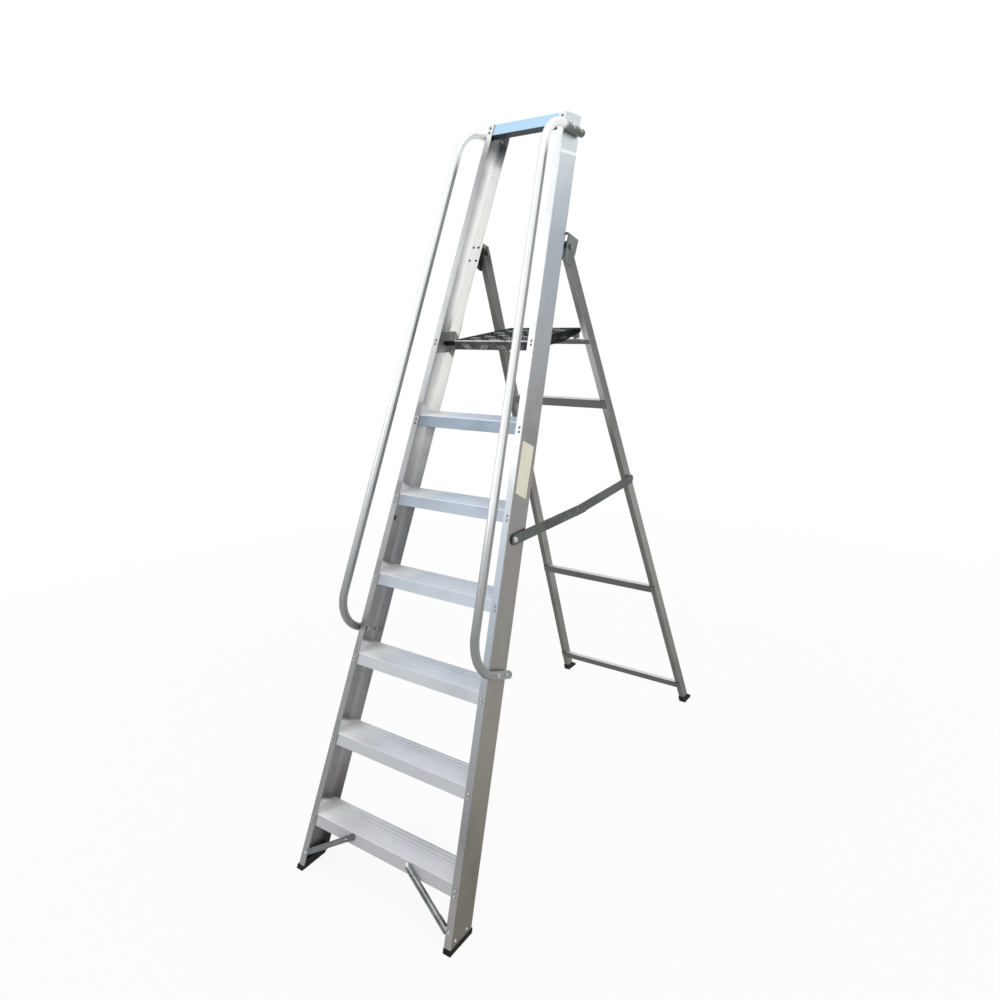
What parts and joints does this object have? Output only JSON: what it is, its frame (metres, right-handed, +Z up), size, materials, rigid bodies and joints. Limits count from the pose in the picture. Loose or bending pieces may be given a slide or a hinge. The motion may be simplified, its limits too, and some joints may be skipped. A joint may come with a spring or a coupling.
{
  "type": "platform step ladder",
  "caption": "Aluminium platform step ladder with ribbed treads, tubular handrails, a chequer plate platform that swings up, a folding rear frame and a folding stay.",
  "frame": {"origin": "on the floor, midway between the front and rear feet, on the middle line", "axes": "+Z up, +Y from the front stiles to the rear legs, +X to the climber's right"},
  "size_m": [0.6056, 1.663, 2.216],
  "materials": {
    "aluminium": "mill, lightly brushed",
    "aluminium_dull": "dull mill",
    "chequer_plate": "rolled chequer pattern, worn bright on the raised bars",
    "steel_dark": "dark passivated steel",
    "zinc": "zinc plated",
    "rubber": "matte moulded rubber",
    "bush": "black nylon"
  },
  "bodies": {
    "front_frame": {"stile_left": "aluminium", "stile_right": "aluminium", "tread_1": "aluminium", "tread_2": "aluminium", "tread_3": "aluminium", "tread_4": "aluminium", "tread_5": "aluminium", "tread_6": "aluminium", "top_bar": "aluminium", "handrail_left": "aluminium", "handrail_right": "aluminium", "handrail_bolts": "zinc", "foot_front_left": "rubber", "foot_front_right": "rubber", "foot_rivets": "zinc", "brace_left": "zinc", "brace_right": "zinc", "brace_bolts": "zinc", "tread_rivets": "zinc", "hinge_bracket_left": "steel_dark", "hinge_bracket_right": "steel_dark", "bracket_rivets": "zinc", "hinge_pin_left": "zinc", "hinge_pin_right": "zinc", "platform_bracket_left": "steel_dark", "platform_bracket_right": "steel_dark", "platform_pin_left": "bush", "platform_pin_right": "bush", "stay_bolt_front": "zinc", "stay_bolt_left": "zinc"},
    "rear_frame": {"leg_left": "aluminium_dull", "leg_right": "aluminium_dull", "cross_bar_upper": "aluminium_dull", "cross_bar_middle": "aluminium_dull", "cross_bar_lower": "aluminium_dull", "foot_rear_left": "rubber", "foot_rear_right": "rubber", "platform_rest": "aluminium_dull", "rear_rivets": "zinc", "stay_bolt_rear": "zinc"},
    "platform": {"platform_deck": "chequer_plate", "platform_hook_left": "steel_dark", "platform_hook_right": "steel_dark", "platform_rivets": "zinc"},
    "stay_front": {"stay_front_bar": "steel_dark", "stay_rivets": "zinc"},
    "stay_rear": {"stay_rear_bar": "steel_dark"}
  },
  "joints": [
    {"name": "fold", "type": "hinge", "parent": "front_frame", "child": "rear_frame", "pos_m": [0, 0.02685, 1.82983], "axis": [-1, 0, 0], "range_deg": [0, 44.47]},
    {"name": "platform_swing", "type": "hinge", "parent": "front_frame", "child": "platform", "pos_m": [0, -0.15279, 1.54943], "axis": [1, 0, 0], "range_deg": [0, 63.51]},
    {"name": "stay_front_swing", "type": "hinge", "parent": "front_frame", "child": "stay_front", "pos_m": [0, -0.38788, 1.02198], "axis": [1, 0, 0], "range_deg": [0, 62.53]},
    {"name": "stay_rear_swing", "type": "hinge", "parent": "rear_frame", "child": "stay_rear", "pos_m": [0, 0.35276, 1.05184], "axis": [-1, 0, 0], "range_deg": [0, 63.21]}
  ],
  "couplings": [
    {"joint": "platform_swing", "follows": "fold", "ratio": 1.4279},
    {"joint": "stay_front_swing", "follows": "fold", "ratio": 1.4058},
    {"joint": "stay_rear_swing", "follows": "fold", "ratio": 1.4212}
  ]
}
